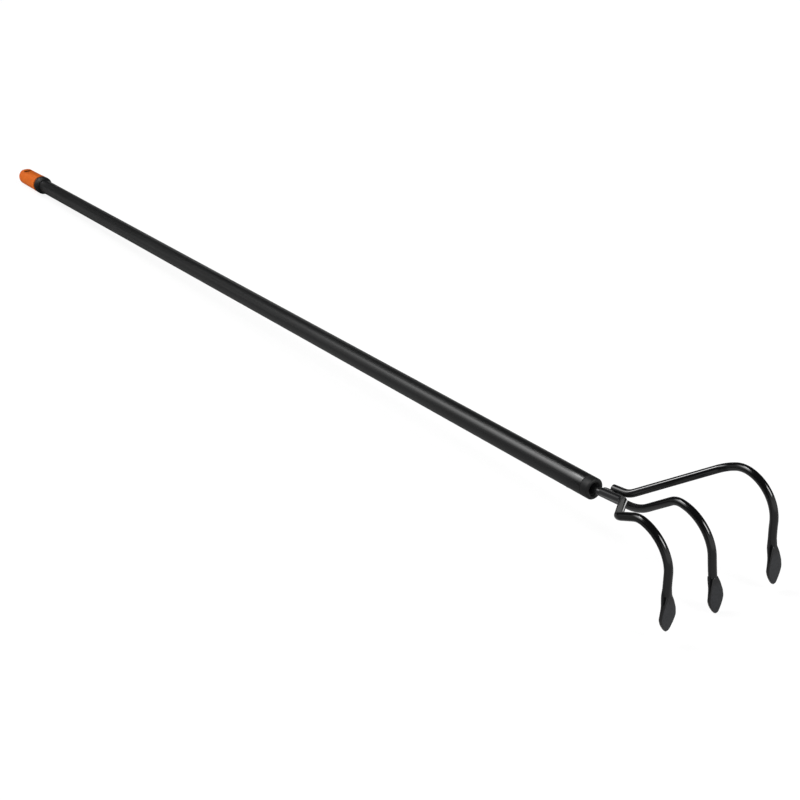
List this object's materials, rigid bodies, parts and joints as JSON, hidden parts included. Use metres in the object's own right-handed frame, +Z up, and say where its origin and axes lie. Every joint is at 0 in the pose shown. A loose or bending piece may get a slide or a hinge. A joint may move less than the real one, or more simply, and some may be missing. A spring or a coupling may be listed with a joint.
{
  "type": "garden cultivator",
  "caption": "Long-handled garden cultivator: hooked round-bar tines with flat leaf-shaped points, welded together, on a black steel tube with an orange hanging cap.",
  "frame": {"origin": "under the middle of the tool on the ground it lies on, at the centre of its bounding box's floor", "axes": "+X along the tool towards the tines, +Z up, +Y to the left of a person who holds the handle and looks towards the tines"},
  "size_m": [1.5904, 0.155, 0.1098],
  "materials": {
    "black_paint": "satin black powder coat",
    "tine_paint": "semi-gloss black enamel over forged bar",
    "orange_plastic": "satin moulded orange plastic",
    "black_plastic": "matte moulded black plastic",
    "bright_steel": "plain zinc-plated steel"
  },
  "bodies": {
    "root": {"handle_tube": "black_paint", "ferrule": "black_plastic", "tang_bush": "black_plastic", "ferrule_rivet": "bright_steel", "hanging_cap": "orange_plastic", "cap_collar": "black_plastic", "center_tine": "tine_paint", "left_tine": "tine_paint", "right_tine": "tine_paint", "left_top_weld": "tine_paint", "right_top_weld": "tine_paint", "left_underside_weld": "tine_paint", "right_underside_weld": "tine_paint"}
  },
  "joints": []
}
